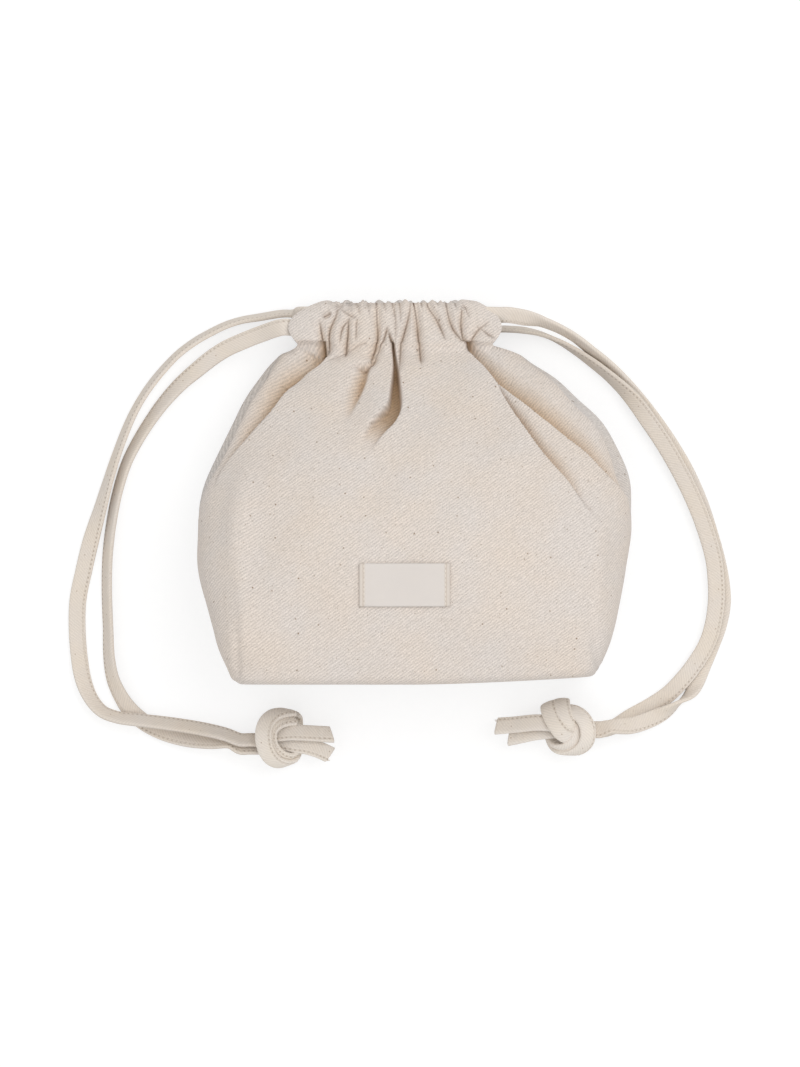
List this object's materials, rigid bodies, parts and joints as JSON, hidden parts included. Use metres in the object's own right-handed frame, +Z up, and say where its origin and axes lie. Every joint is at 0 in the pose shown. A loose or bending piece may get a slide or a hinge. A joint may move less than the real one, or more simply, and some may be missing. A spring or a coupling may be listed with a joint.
{
  "type": "drawstring pouch",
  "caption": "Cream cotton twill drawstring pouch with a boxed base, a gathered mouth, a bare sewn label and a knotted flat tape cord at each side.",
  "frame": {"origin": "middle of the bag's footprint as it lies on its back, on the surface under it, without the cords", "axes": "+X across the bag to the right, +Y from the base to the mouth, +Z up out of the front panel"},
  "size_m": [0.3333, 0.2341, 0.0928],
  "materials": {
    "canvas": "matte cotton twill",
    "tape": "matte folded cotton tape",
    "label": "smooth matte woven label",
    "thread": "matte sewing thread"
  },
  "bodies": {
    "bag": {"front_panel": "canvas", "back_panel": "canvas", "left_side_seam": "canvas", "right_side_seam": "canvas", "base_seam": "canvas", "left_corner_seam": "canvas", "right_corner_seam": "canvas", "front_casing": "canvas", "back_casing": "canvas", "label": "label", "label_left_stitch": "thread", "label_right_stitch": "thread", "left_cord_mouth_loop": "tape", "right_cord_mouth_loop": "tape"},
    "left_cord": {"left_cord_front_strand": "tape", "left_cord_back_strand": "tape", "left_knot": "tape", "left_cord_upper_tail": "tape", "left_cord_lower_tail": "tape"},
    "right_cord": {"right_cord_front_strand": "tape", "right_cord_back_strand": "tape", "right_knot": "tape", "right_cord_upper_tail": "tape", "right_cord_lower_tail": "tape"}
  },
  "joints": [
    {"name": "left_cord_pull", "type": "slide", "parent": "bag", "child": "left_cord", "axis": [-1, 0, 0], "range_m": [0, 0.04]},
    {"name": "right_cord_pull", "type": "slide", "parent": "bag", "child": "right_cord", "axis": [1, 0, 0], "range_m": [0, 0.04]}
  ]
}
